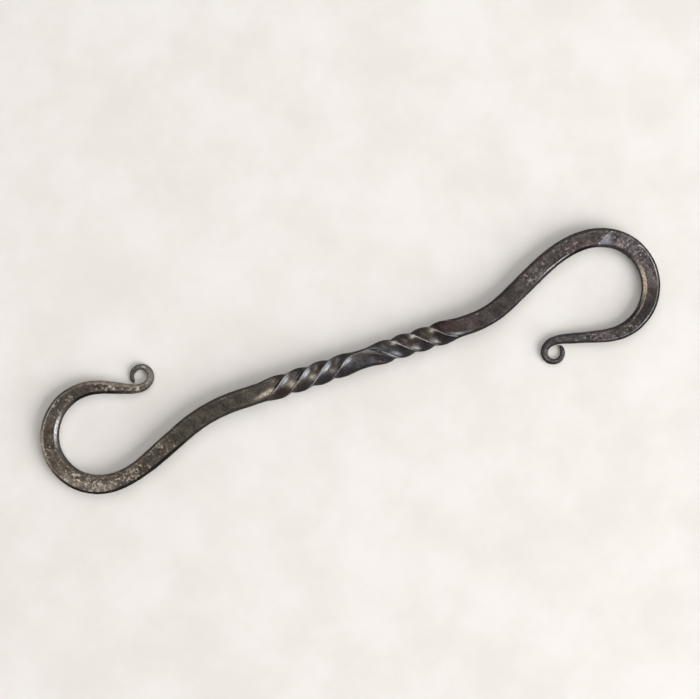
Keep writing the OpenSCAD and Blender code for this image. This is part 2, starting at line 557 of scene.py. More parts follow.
def spotted(s: Array, out: Array, spots: Marks) -> Array:
    """Strength of a row of spots at every point, the sum of their bells, at most 1.

    Args:
        s: places along the bar.
        out: places across the bar, seen from above.
        spots: the spots.
    Returns:
        One number for each point.
    """
    total = sum(
        strength * bump(s, place, reach) * bump(out, side, side_reach)
        for place, side, reach, side_reach, strength in spots
    )
    return np.clip(total, 0, 1)


def marked(grid: Grid, marks: Marks) -> Array:
    """Strength of a row of edge marks at every point, the sum of their bells, at most 1.

    Args:
        grid: the bar's surface.
        marks: the marks, each held to its own part of its edge.
    Returns:
        One number for each point.
    """
    soft = 0.1
    total = np.zeros(grid.x.shape)
    for edge, place, reach, start, stop, strength in marks:
        over = smooth(grid.across, start - soft, start + soft)
        over = over * smooth(grid.across, stop + soft, stop - soft) * (grid.corner == edge)
        total += strength * bump(grid.s, place, reach) * over
    return np.clip(total, 0, 1)


@dataclass(frozen=True)
class Hammering:
    """Marks of the hammer on the flats: overlapping shallow dents, and one deeper mark."""

    spacing: float = 6
    ball: float = 38
    depth: float = 0.07
    spread: float = 2.6
    soft: float = 0.012
    lost_in_twist: float = 0.6
    mark_place: float = 109.9
    mark_slant: float = 0.95
    mark_end: float = 113
    mark_tilt: float = 0.07
    mark_fade: float = 17
    mark_edge: float = 0.3

    def dents(self, s: Array, u: Array, seed: int) -> Array:
        """Depth of the dents on one flat: bowls, depth - distance^2 / (2 * ball), soft maximum.

        Args:
            s: places along the bar, as a column.
            u: places across the flat.
            seed: picks where the hammer landed.
        Returns:
            Depth below the flat, 0 or more.
        """
        rng = np.random.default_rng(seed)
        first, last = float(s.min()), float(s.max())
        blows = int((last - first) / self.spacing * 2)
        places = np.sort(rng.uniform(first, last, blows))
        sides = rng.uniform(-self.spread, self.spread, blows)
        depths = rng.uniform(0.2, 1, blows) * self.depth
        total = np.ones(u.shape)
        for place, side, depth in zip(places, sides, depths):
            near = np.abs(s[:, 0] - place) < self.spacing * 1.5
            gap = (s[near] - place) ** 2 + (u[near] - side) ** 2
            total[near] += np.exp((depth - gap / (2 * self.ball)) / self.soft)
        return self.soft * np.log(total)

    def line(self, x: Array) -> Array:
        """Place of the slanted line at which the hammer mark starts, at x across the bar."""
        return self.mark_place + self.mark_slant * x

    def mark(self, s: Array, x: Array) -> tuple[Array, Array]:
        """Depth of the hammer mark on top of the right bow.

        A flat facet falls away from a slanted line to where the hammer's face ended. The bar
        past it is a little thinner, and gets back its full thickness over the fade.

        Args:
            s: places along the bar.
            x: places across the bar, positive towards the outside of the bow.
        Returns:
            Depth below the top flat, and the facet: 1 at the line, fading towards the end.
        """
        line, end = self.line(x), self.mark_end
        run = np.maximum(end - line, 0)
        fall = np.clip(s - line, 0, run)
        back = 1 - smooth(s, end + 2, end + 2 + self.mark_fade)
        facet = np.clip((s - line) / self.mark_edge + 0.5, 0, 1)
        facet = facet * smooth(s, end + 1.5, end - 3.5) * smooth(run, 0, 0.6)
        return self.mark_tilt * fall * back, facet


@dataclass(frozen=True)
class Wear:
    """What fire, rust and use did along the bar and on its edges, and painted highlights and shade.
    """

    wander: float = 0.22
    wander_cell: float = 11
    facing: tuple[float, float] = (0.55, 0.95)
    edges_apart: float = 40
    wave_depth: float = 0.025
    wave_cell: float = 9
    grain_depth: float = 0.016
    grain_cell: float = 1.1
    pit_depth: float = 0.08
    pit_cell: float = 0.9
    speckle_cell: float = 5
    slit_depth: float = 0.25
    crest_gain: float = 1.3
    crest_reach: float = 0.1
    # The lines along both borders of each edge, outside the twist, are painted highlights.
    border_strength: float = 0.22
    border_inset: float = 0.06
    # A painted highlight line along the hammer mark's slanted edge.
    blow_line: float = 0.35
    dull_crest: Marks = ((-41, 4.5, 0.8), (-1.2, 4, 0.9), (4.5, 8.5, 0.7))
    bare: Marks = (
        (-211, 7, 0.5), (-195, 8, 0.85), (-183, 8, 0.65), (-165, 9, 0.5), (-143, 7, 0.7),
        (-128, 8, 1), (-119, 7, 0.8), (-104, 8, 0.85), (-87, 6, 0.35), (77, 7, 0.6), (93, 7, 0.5),
        (117, 8, 0.8), (128, 8, 0.72), (162, 6, 0.7), (175, 7, 0.7), (192, 9, 0.7),
    )
    # Patches along the bar that are painted darker.
    soot_and_shade: Marks = (
        (-64, 14, 0.3), (34, 5, 0.3), (54, 18, 0.45), (86, 6, 0.1), (98, 6, 0.3), (149, 8, 1),
        (159, 6, 0.5),
    )
    # Bluish patches along the bar.
    cool: Marks = (
        (-209, 6, 0.5), (-14, 13, 0.65), (8, 12, 0.7), (112, 6, 0.35), (127, 7, 0.5), (185, 8, 0.5),
        (197, 4, 0.5), (208, 8, 1),
    )
    # Painted bluish reflections on the twist's faces.
    painted_sheen: Marks = (
        (-18, -2.4, 4, 1.6, 0.5), (-8, -2, 8, 2, 0.5), (5, 2, 4, 1.6, 0.5), (16, -2.4, 7, 1.7, 0.8),
        (29, -2.4, 8, 1.7, 0.6), (39, -2, 3, 1.4, 0.8),
    )
    waist: Marks = ((-103, 9, 0.3), (62, 18, 0.12), (177, 5, 0.15), (199, 7, 0.1))
    shade: Marks = (
        (-41, 2.6, 5, 2.2, 0.4), (-36, -2.8, 4, 1.2, 0.5), (-35.2, -1.8, 2.4, 1.4, 0.8),
        (-28, 2.4, 3.5, 2, 0.5), (-27, -2.6, 3, 1.3, 0.5), (-19.5, 2.4, 3.5, 2, 0.35),
        (-18, -2.6, 3, 1.3, 0.5), (-10.5, 1.8, 3, 1.6, 0.35), (-9, -2.4, 4, 1.4, 0.5),
        (3, -1.5, 5, 2.4, 0.25), (9.5, 1.2, 4, 2.2, 0.4), (17.5, 2.2, 3, 1.8, 0.35),
        (25.5, 2.2, 3, 1.8, 0.35), (34, 2.2, 5, 2, 0.3), (36.3, 1.9, 4, 2.5, 0.9),
    )
    rust: Marks = (
        (-36, -2.4, 4, 1.6, 1), (-26, -3, 2, 1, 0.3), (28, 3, 4, 1, 0.7), (36, 1.8, 6, 2.4, 0.7),
        (46, 2.5, 4, 1.6, 0.4), (98, -1, 5, 2, 0.25),
    )
    # Pale dusty spots on top, and painted highlights on the twist's ridges.
    dust_and_highlight: Marks = (
        (-205, 0, 7, 2, 0.18), (-146.7, -3.2, 0.5, 0.4, 1), (-131, -0.9, 6, 1.6, 0.3),
        (-118, -0.8, 8, 2, 0.35), (-44, -1.5, 1.8, 0.7, 0.6), (-41.2, -1, 1.8, 0.8, 0.9),
        (-38.7, -0.3, 1.2, 0.7, 0.9), (-30.1, -0.6, 1.6, 1.4, 0.75), (-21.3, -0.5, 1.6, 1.3, 0.6),
        (-13, -0.6, 1.3, 1.1, 0.35), (4, 2.6, 4, 1.4, 0.22), (13.5, 2.4, 1.1, 0.8, 0.95),
        (21.3, 2.3, 1, 0.8, 0.95), (29.4, 2.2, 1.1, 0.9, 0.8),
    )
    wider: Marks = ((0, -152, 11, 0.2), (1, 137, 10, 0.3))
    # Painted highlights on the edges and on the twist's ridges.
    shine: Marks = (
        (1, -158, 14, 0, 0.22, 0.6), (0, -153.5, 8.5, 0.38, 0.95, 0.62), (1, -130, 12, 0, 0.1, 0.4),
        (0, -91, 7, 0.8, 1, 0.5), (1, -32.6, 1.5, 0.42, 0.7, 0.6), (2, -24.2, 1.4, 0.42, 0.7, 0.8),
        (3, -15.6, 1.5, 0.42, 0.7, 0.6), (0, -7.8, 1.8, 0.42, 0.72, 0.75), (1, 85, 11, 0, 0.2, 0.7),
        (0, 133, 16, 0.75, 1, 0.42), (0, 153, 6, 0.7, 1, 0.32), (0, 168, 12, 0.6, 1, 0.33),
    )
    # Painted highlights: bright patches and lines at the twist's ridges.
    torn: Marks = (
        (1, -35.2, 2.2, -0.5, -0.3, 0.5), (1, -33, 2.4, 0.3, 0.75, 0.8),
        (1, -31.6, 1.3, 0.7, 1.3, 0.75), (2, -26.4, 2, -0.5, -0.3, 0.5),
        (2, -24.4, 2.4, 0.3, 0.75, 0.9), (2, -23.1, 1.4, 0.7, 1.4, 1),
        (3, -15.8, 2.6, 0.25, 0.75, 0.8), (3, -14.8, 1.6, 0.7, 1.3, 0.85),
        (0, -6.4, 1.7, 0.3, 0.9, 0.8), (0, -5.5, 1.1, 0.6, 1.05, 0.7), (0, 5, 3.2, -0.3, 0.05, 0.6),
        (0, 6.5, 3.6, 0.9, 1.1, 0.7), (0, 11.3, 1.8, 0.3, 0.8, 0.7),
        (1, 39.3, 2.4, -0.28, 0.3, 0.68),
    )
    # Painted warm highlights on the bows' edges.
    gold: Marks = (
        (1, -186, 16, 0.1, 0.85, 0.26), (1, -144, 9, 0, 0.85, 0.42), (1, 137, 8.5, 0.12, 0.75, 1),
        (1, 151, 4, 0.05, 0.3, 0.4),
    )
    # Painted shade, very dark, on parts of the edges and in the twist's grooves, which are also cut
    # in.
    slit_shade: Marks = (
        (0, -178, 13, -0.4, 0.75, 0.8), (1, -106, 30, 0.12, 1.4, 1), (0, -92, 20, -0.4, 0.5, 0.5),
        (1, -35.2, 1.9, -0.1, 0.34, 1), (2, -26.3, 1.7, -0.1, 0.34, 1),
        (0, -10, 1, 0.05, 0.35, 0.6), (0, 5.6, 2.4, 0.3, 0.7, 0.9), (1, 99, 8, 0.3, 1.2, 0.8),
        (0, 140, 26, -0.4, 0.6, 0.5),
    )


@dataclass
class ForgedHook:
    """The hook itself: one bar, swept along its route."""

    left_twist: float = 44.4
    left_bends: tuple[Bend, ...] = (
        Bend(6.6, 23.5, 63, 3, 3), Bend(10, -226, 19.4, 30, 9), Bend(4.8, 314, 3.8, 13, 0.1),
    )
    right_twist: float = 41.2
    right_bends: tuple[Bend, ...] = (
        Bend(0, 26.5, 39, 6, 6), Bend(9.2, -220.5, 19.6, 39, 9), Bend(11.3, 310, 3.7, 11.5, 0.1),
    )
    stock: Stock = Stock()
    outline: Outline = Outline()
    hammering: Hammering = Hammering()
    wear: Wear = Wear()
    twist_start: tuple[float, float] = (-44, -38)
    twist_stop: tuple[float, float] = (40.5, 35)
    rings: int = 1216
    route: Route = field(init=False)
    grid: Grid = field(init=False)
    obj: Object | None = None

    def __post_init__(self) -> None:
        """Works out the route of both arms, and the bar's surface before it is bent.

        The outward direction at a point is square to the line between its neighbours.
        """
        left = Arm(self.left_twist, self.left_bends, self.stock)
        right = Arm(self.right_twist, self.right_bends, self.stock)
        self.route = Route(left, right, self.rings)
        s = self.route.s[:, None]
        fx, fy, corner = self.outline.ring()
        twisted = smooth(s, *self.twist_start) * smooth(s, *self.twist_stop)
        sizes = self.sizes(twisted)[:, corner]
        x, y = (sizes * fx).sum(2), (sizes * fy).sum(2)
        dx, dy = (np.roll(v, -1, axis=1) - np.roll(v, 1, axis=1) for v in (x, y))
        step = np.hypot(dx, dy) + 1e-9
        half, high, cut, soft = np.moveaxis(sizes, 2, 0)
        flat = smooth(np.maximum(half - np.abs(x), high - np.abs(y)) - cut - soft, -0.15, 0.45)
        across = self.outline.across()
        self.grid = Grid(s, twisted, corner, across, x, y, dy / step, -dx / step, flat)

    def sizes(self, twisted: Array) -> Array:
        """The sizes of the cross section, for every place of the bar and every edge.

        Args:
            twisted: 1 in the twist and 0 elsewhere, as a column.
        Returns:
            Half width, half height, cut and soft border. The cut wanders along each edge.
        """
        route, stock, wear = self.route, self.stock, self.wear
        s, number = np.broadcast_arrays(route.s[:, None], np.arange(4))
        places = np.stack([s, wear.edges_apart * number, 0 * s], axis=2)
        wander = layered_noise(places, wear.wander_cell, Seed.WANDER)
        wander = 1 + wear.wander * wander
        wander = wander + (np.maximum(wander, 1) - wander) * twisted
        for edge, place, reach, strength in wear.wider:
            wander[:, edge] += strength * bump(route.s, place, reach)
        small = np.minimum(route.width, route.thickness)[:, None]
        cut = np.minimum(stock.edge / math.sqrt(2) * wander, stock.most_edge * small)
        soft = stock.soft + (stock.ridge_soft - stock.soft) * twisted
        soft = np.minimum(soft, stock.most_soft * small)
        half = route.width[:, None] / 2 - patched(route.s[:, None], wear.waist)
        high = route.thickness[:, None] / 2
        return np.stack(np.broadcast_arrays(half, high, cut, soft), axis=2)

    def depths(self) -> Array:
        """Finds how far each point is pressed in, and keeps the pits, hammer mark and slits.

        Returns:
            The depth of the dents, waves, grain, pits, hammer mark and slits together.
        """
        g, wear, hammering = self.grid, self.wear, self.hammering
        bar = g.bar
        depth = np.zeros(g.x.shape)
        sides = ((g.nx, g.y), (-g.nx, g.y), (g.ny, g.x), (-g.ny, g.x))
        for number, (outward, across) in enumerate(sides):
            dents = hammering.dents(g.s, across, Seed.DENTS + number)
            depth += smooth(outward, *wear.facing) * dents
        depth *= 1 - hammering.lost_in_twist * g.twisted
        depth += wear.wave_depth * (1 - layered_noise(bar, wear.wave_cell, Seed.WAVES))
        grain = 1 - layered_noise(bar, wear.grain_cell, Seed.GRAIN)
        depth += wear.grain_depth * grain * (0.4 + 0.6 * g.flat)
        bare = patched(g.s, wear.bare)
        hollows = layered_noise(bar, wear.pit_cell, Seed.PITS)
        pits = smooth(hollows, 0.45 - 0.25 * bare, 0.85 - 0.2 * bare) * (0.35 + 0.65 * g.flat)
        depth += wear.pit_depth * pits * (0.4 + 0.8 * bare)
        top = smooth(g.ny, *wear.facing)
        mark, facet = hammering.mark(g.s, g.x)
        g.struck = facet * top
        g.pits = pits * (1 - g.struck)
        g.slit_shade = marked(g, wear.slit_shade)
        depth = depth * (1 - 0.6 * g.struck) + top * mark
        return depth + wear.slit_depth * g.slit_shade * g.twisted

    def laid(self) -> Array:
        """Presses the surface in, turns every ring by the twist and lays it on the route.

        Returns:
            The points in millimetres.
        """
        g, route, depth = self.grid, self.route, self.depths()
        turn, angle = np.radians(route.twist)[:, None], np.radians(route.heading)[:, None]
        scale, high = route.scale[:, None], (route.lift + route.thickness / 2)[:, None]
        x, y = (g.x - g.nx * depth) * scale, (g.y - g.ny * depth) * scale
        g.out = x * np.cos(turn) - y * np.sin(turn)
        g.top = smooth(g.nx * np.sin(turn) + g.ny * np.cos(turn), 0.1, 0.5)
        height = high + x * np.sin(turn) + y * np.cos(turn)
        along_x = route.middle[:, :1] - np.sin(angle) * g.out
        along_y = route.middle[:, 1:] + np.cos(angle) * g.out
        return np.stack([along_x, along_y, np.maximum(height, 0)], axis=2)

    def looks(self) -> dict[str, Array]:
        """Strength of each look at every point.

        Returns:
            An array from 0 to 1 for each attribute.
        """
        g, wear = self.grid, self.wear
        s, across, plain, inset = g.s, g.across, 1 - g.twisted, wear.border_inset
        crest = np.minimum(wear.crest_gain * bump(across, 0.5, wear.crest_reach), 1)
        crest = g.twisted * crest
        for place, reach, strength in wear.dull_crest:
            crest = crest * (1 - strength * bump(s, place, reach))
        # Painted highlight lines along both borders of each edge, outside the twist.
        border = bump(across, inset, wear.crest_reach) + bump(across, 1 - inset, wear.crest_reach)
        border = plain * border * wear.border_strength
        # A painted highlight line along the hammer mark's slanted edge.
        blow_line = wear.blow_line * g.struck * bump(s, self.hammering.line(g.x) + 0.15, 0.4)
        speckle = layered_noise(g.bar, wear.speckle_cell, Seed.SPECKLE, 3)
        made = {
            # Rubbed crests in the twist, and painted highlight lines.
            "edge": crest + border + blow_line,
            # Painted shade: the edges outside the twist are made darker.
            "side": plain * smooth(across, -0.05, 0.1) * smooth(across, 1.05, 0.9),
            "bare": np.minimum(patched(s, wear.bare) * (1 + 0.5 * speckle), 1) * (1 - g.struck),
            # Darker patches along the bar, and painted shade on the twist's faces.
            "soot_and_shade": patched(s, wear.soot_and_shade) + g.top * spotted(s, g.out, wear.shade),
            # Bluish patches along the bar, and painted bluish reflections on the twist's faces.
            "cool": patched(s, wear.cool) + g.top * spotted(s, g.out, wear.painted_sheen),
            "rust": g.top * spotted(s, g.out, wear.rust) * (1 + 0.6 * speckle),
            # Pale dusty spots on top, and painted highlights on the twist's ridges.
            "dust_and_highlight": g.top * spotted(s, g.out, wear.dust_and_highlight),
            "warm_side": np.broadcast_to(smooth(s, 30, -60), g.x.shape),
            "pits": g.pits,
            "struck": g.struck,
            # Painted shade, very dark, in the twist's grooves and on parts of the edges.
            "slit_shade": g.slit_shade,
        }
        # Painted highlights on the twist's ridges and on the edges, and painted warm highlights on
        # the bows' edges.
        made |= {name: marked(g, getattr(wear, name)) for name in ("torn", "shine", "gold")}
        return {name: np.clip(values, 0, 1) for name, values in made.items()}

    def seated(self, points: Array) -> Array:
        """Moves the surface so that its box, taken without any marks, is in the part's box.

        Args:
            points: the surface, in millimetres from the middle of the twist.
        Returns:
            The surface in metres, each point held inside the part's box.
        """
        low, high = (np.array(corner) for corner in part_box(NODE))
        route, angle = self.route, np.radians(self.route.heading)
        half = (route.width / 2 * route.scale)[:, None]
        side = np.stack([-np.sin(angle), np.cos(angle)], axis=1) * half
        plain = np.concatenate([route.middle + side, route.middle - side]) * MM
        first, last = plain.min(0), plain.max(0)
        moved = points * MM
        moved[..., :2] += ((low + high)[:2] - first - last) / 2
        gap = np.abs((high - low)[:2] - (last - first)).max() / MM
        log.info("route and part differ by %.3f mm in length or width", gap)
        return np.clip(moved, low, high)

    def build(self) -> None:
        """Makes the mesh: the grid of rings, closed over both tips, with its looks and map.

        The corners are taken in turned order, so that the faces look outwards.
        """
        points = self.seated(self.laid())
        rows, columns = points.shape[:2]
        centre = rows * columns
        quads = ring_quads(rows, columns)[:, ::-1]
        first = fan(columns, centre, 0)[:, [0, 2, 1]]
        last = fan(columns, centre + 1, centre - columns)
        vertices = np.concatenate([points.reshape(-1, 3), points[[0, -1]].mean(1)])
        self.obj = new_object("forged_hook", vertices, quads, np.concatenate([first, last]))
        for name, values in self.looks().items():
            every = np.concatenate([values.ravel(), values[0, :1], values[-1, :1]])
            layer = self.obj.data.attributes.new(name, "FLOAT", "POINT")
            layer.data.foreach_set("value", every.astype(np.float32))
        self.unroll(rows, columns)

    def unroll(self, rows: int, columns: int) -> None:
        """Lays the surface out flat as four strips, a quarter of the bar's length each.

        The way round the bar runs up a strip. Each tip's fan gets a sliver past its strip's end.

        Args:
            rows: number of rings.
            columns: points in a ring.
        """
        strips, margin, sliver = 4, 0.006, 0.002
        s = self.route.s
        along = (s - s[0]) / (s[-1] - s[0])
        i, j = (index.ravel() for index in np.indices((rows - 1, columns)))
        strip = np.minimum((along[:-1] * strips).astype(int), strips - 1)[i, None]
        ring = np.stack([i, i + 1, i + 1, i], axis=1)[:, ::-1]
        around = np.stack([j, j, j + 1, j + 1], axis=1)[:, ::-1]
        tip = np.arange(columns)[:, None]
        parts = (
            (along[ring] * strips - strip, strip, around),
            (np.array([-sliver, 0, 0]), 0, tip + [0.5, 1, 0]),
            (np.array([1 + sliver, 1, 1]), strips - 1, tip + [0.5, 0, 1]),
        )
        laid = [np.stack(np.broadcast_arrays(*part), axis=2).reshape(-1, 3) for part in parts]
        u, strip, v = np.concatenate(laid).T
        u = margin + u * (1 - 2 * margin)
        v = (strip + margin * strips + v / columns * (1 - 2 * margin * strips)) / strips
        layer = self.obj.data.uv_layers.new(name=UV_MAP)
        layer.data.foreach_set("uv", np.stack([u, v], axis=1).astype(np.float32).ravel())

    def dress(self, finish: "ForgedSteel") -> None:
        """Gives the hook its finish and tells the frame what it stands for.

        Args:
            finish: the steel's finish.
        """
        self.obj.data.materials.append(finish.material())
        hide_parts(NODE)
        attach(self.obj, BODY)
        faces = len(self.obj.data.polygons)
        log.info("%s: %d faces, stands for %s", self.obj.name, faces, NODE)


# ---- shader groups


class Nodes:
    """Adds nodes to a node tree from left to right and links them by the sockets' names."""

    def __init__(self, tree: Tree) -> None:
        """Starts on an empty tree."""
        self.tree = tree
        self.column = 0

    def add(self, kind: str, **settings: object) -> Node:
        """Adds one node.

        Args:
            kind: its type's name, without "ShaderNode" at the start.
            settings: its own settings, such as the operation.
        Returns:
            The node.
        """
        node = self.tree.nodes.new(kind if kind.startswith("Node") else f"ShaderNode{kind}")
        node.location = (self.column * 190, -(self.column % 5) * 130)
        self.column += 1
        for name, value in settings.items():
            setattr(node, name, value)
        return node

    def feed(self, socket: Socket, value: object) -> None:
        """Links an input to another node's output, or sets it to a plain value.

        Args:
            socket: the input.
            value: an output, a number, a colour or a vector.
        """
        if isinstance(value, Socket):
            self.tree.links.new(value, socket)
        else:
            socket.default_value = value

    def put(self, node: Node, **inputs: object) -> Node:
        """Feeds a node's inputs.

        Args:
            node: the node.
            inputs: a value for each input, with an underscore for a space in its name.
        Returns:
            The node.
        """
        for name, value in inputs.items():
            self.feed(node.inputs[name.replace("_", " ")], value)
        return node

    def maths(self, operation: str, a: object, b: object) -> Socket:
        """Adds a Math node.

        Args:
            operation: what it does.
            a: the first value.
            b: the second value.
        Returns:
            Its output.
        """
        node = self.add("Math", operation=operation)
        for socket, value in zip(node.inputs, (a, b)):
            self.feed(socket, value)
        return node.outputs[0]

    def times(self, a: object, b: object) -> Socket:
        """Output of a Math node that multiplies two values."""
        return self.maths("MULTIPLY", a, b)

    def grey(self, value: object) -> Socket:
        """Output of a Combine Color node with the value in all three channels."""
        return self.put(self.add("CombineColor"), Red=value, Green=value, Blue=value).outputs[0]

    def ramp(
        self, value: object, low: object, high: object, start: float = 0, stop: float = 1
    ) -> Socket:
        """Adds a Map Range node that goes smoothly from start to stop.

        Args:
            value: what is mapped.
            low: the value at which it is still start.
            high: the value at which it has reached stop.
            start: the first result.
            stop: the last result.
        Returns:
            Its output.
        """
        node = self.add("MapRange", interpolation_type="SMOOTHSTEP")
        self.put(node, Value=value, From_Min=low, From_Max=high, To_Min=start, To_Max=stop)
        return node.outputs["Result"]

    def fade(self, value: object, start: float, stop: float) -> Socket:
        """The ramp for a value from 0 to 1."""
        return self.ramp(value, 0, 1, start, stop)

    def blend(self, part: object, a: object, b: object, kind: str = "MIX") -> Socket:
        """Adds a Mix node for colours.

        Args:
            part: the share of b, from 0 to 1.
            a: the colour below.
            b: the colour on top.
            kind: how they are mixed.
        Returns:
            Its output.
        """
        node = self.add("Mix", data_type="RGBA", blend_type=kind)
        factor, first, second = 0, 6, 7
        for number, value in ((factor, part), (first, a), (second, b)):
            self.feed(node.inputs[number], value)
        return node.outputs[2]

    def noise(self, vector: object, **sizes: object) -> Socket:
        """Factor of a Noise Texture node, from 0 to 1."""
        return self.put(self.add("TexNoise"), Vector=vector, **sizes).outputs["Fac"]


class Group(Nodes):
    """A shader group with named number sockets, one vector input, and its nodes."""

    def __init__(self, name: str, outputs: tuple[str, ...], **inputs: float) -> None:
        """Makes the group with only its input and output nodes.

        Args:
            name: the group's name.
            outputs: names of its outputs.
            inputs: name and usual value of each input besides the Vector.
        """
        super().__init__(bpy.data.node_groups.new(name, "ShaderNodeTree"))
        sockets = self.tree.interface
        sockets.new_socket("Vector", in_out="INPUT", socket_type="NodeSocketVector")
        for label, value in inputs.items():
            socket = sockets.new_socket(label, in_out="INPUT", socket_type="NodeSocketFloat")
            socket.default_value = value
        for label in outputs:
            sockets.new_socket(label, in_out="OUTPUT", socket_type="NodeSocketFloat")
        self.given = self.add("NodeGroupInput").outputs
        self.out = self.add("NodeGroupOutput")

    def cells(self, detail: float, roughness: float) -> Socket:
        """Noise whose cells are as large as the input Cell says."""
        scale = self.maths("DIVIDE", 1, self.given["Cell"])
        return self.noise(self.given["Vector"], Scale=scale, Detail=detail, Roughness=roughness)


def mottle_group() -> Tree:
    """Cloudy variation: noise stretched between two bounds.

    Returns:
        A group with inputs Cell (metres), Low and High, and output Value.
    """
    n = Group("mottle", ("Value",), Cell=0.004, Low=0.35, High=0.65)
    n.put(n.out, Value=n.ramp(n.cells(4, 0.6), n.given["Low"], n.given["High"]))
    return n.tree


def marble_group() -> Tree:
    """Light flecks where scale has come off and dark hollows between them, from one noise.

    Returns:
        A group with inputs Cell (metres) and Cover, and outputs Light and Dark.
    """
    n = Group("marble", ("Light", "Dark"), Cell=0.0008, Cover=0.3)
    soft = 0.19
    noise = n.cells(4, 0.68)
    light = n.maths("SUBTRACT", 0.575, n.times(n.given["Cover"], 0.155))
    dark = n.maths("ADD", 0.37, n.times(n.given["Cover"], 0.1))
    n.put(
        n.out,
        Light=n.ramp(noise, light, n.maths("ADD", light, soft)),
        Dark=n.ramp(noise, n.maths("SUBTRACT", dark, soft), dark, 1, 0),
    )
    return n.tree


def scratch_group() -> Tree:
    """Fine scratches that run one way: noise drawn out along a slanted line.

    Returns:
        A group with input Slant (radians) and output Value.
    """
    n = Group("scratches", ("Value",), Slant=0.9)
    turned = n.add("VectorRotate", rotation_type="Z_AXIS")
    n.put(turned, Vector=n.given["Vector"], Angle=n.given["Slant"])
    drawn = n.add("VectorMath", operation="MULTIPLY")
    n.feed(drawn.inputs[0], turned.outputs["Vector"])
    n.feed(drawn.inputs[1], (220, 3000, 220))
    lines = n.noise(drawn.outputs[0], Scale=1, Detail=2, Roughness=0.5)
    n.put(n.out, Value=n.ramp(lines, 0.35, 0.65))
    return n.tree


def rubbed_group() -> Tree:
    """Rubbed crests and painted highlight lines: an edge share broken up by fine noise.

    Returns:
        A group with inputs Edge and Amount, and output Mask.
    """
    n = Group("rubbed_edge", ("Mask",), Edge=0, Amount=0.5)
    noise = n.noise(n.given["Vector"], Scale=900, Detail=4, Roughness=0.6)
    broken = n.maths("ADD", n.given["Edge"], n.maths("SUBTRACT", noise, 0.5))
    n.put(n.out, Mask=n.times(n.ramp(broken, 0.15, 0.65), n.given["Amount"]))
    return n.tree


def grain_group() -> Tree:
    """Height of the fine grain of scale: small noise with smaller noise on it.

    Returns:
        A group with input Cell (metres) and output Height.
    """
    n = Group("fine_grain", ("Height",), Cell=0.0006)
    n.put(n.out, Height=n.cells(5, 0.62))
    return n.tree


@dataclass
class Groups:
    """The shader groups that the finishes share, each made once."""

    mottle: Tree = field(default_factory=mottle_group)
    marble: Tree = field(default_factory=marble_group)
    scratches: Tree = field(default_factory=scratch_group)
    rubbed: Tree = field(default_factory=rubbed_group)
    grain: Tree = field(default_factory=grain_group)


class Finish(Nodes):
    """A new material's nodes, laid out from the object's own coordinates."""

    def __init__(self, name: str) -> None:
        """Makes the material with nothing in it but the place in metres.

        Args:
            name: the material's name.
        """
        self.material = bpy.data.materials.new(name)
        self.material.use_nodes = True
        super().__init__(self.material.node_tree)
        self.tree.nodes.clear()
        self.place = self.add("TexCoord").outputs["Object"]

    def use(self, group: Tree, **inputs: object) -> Sockets:
        """Places a shared group at the object's coordinates and returns its outputs."""
        node = self.add("Group", node_tree=group)
        return self.put(node, Vector=self.place, **inputs).outputs

    def close(self, **inputs: object) -> Material:
        """Ends the material with its shader.

        Args:
            inputs: a value for each of the shader's inputs.
        Returns:
            The material.
        """
        shader = self.put(self.add("BsdfPrincipled"), **inputs)
        self.put(self.add("OutputMaterial"), Surface=shader.outputs["BSDF"])
        return self.material


def rgba(red: float, green: float, blue: float) -> Colour:
    """Colour for a socket, turned into linear light.

    Args:
        red: screen value of 0 to 255.
        green: the same for green.
        blue: the same for blue.
    Returns:
        Red, green, blue and a full alpha, from 0 to 1.
    """
    linear = [
        v / 12.92 if v <= 0.04045 else ((v + 0.055) / 1.055) ** 2.4
        for v in (red / 255, green / 255, blue / 255)
    ]
    return (*linear, 1)


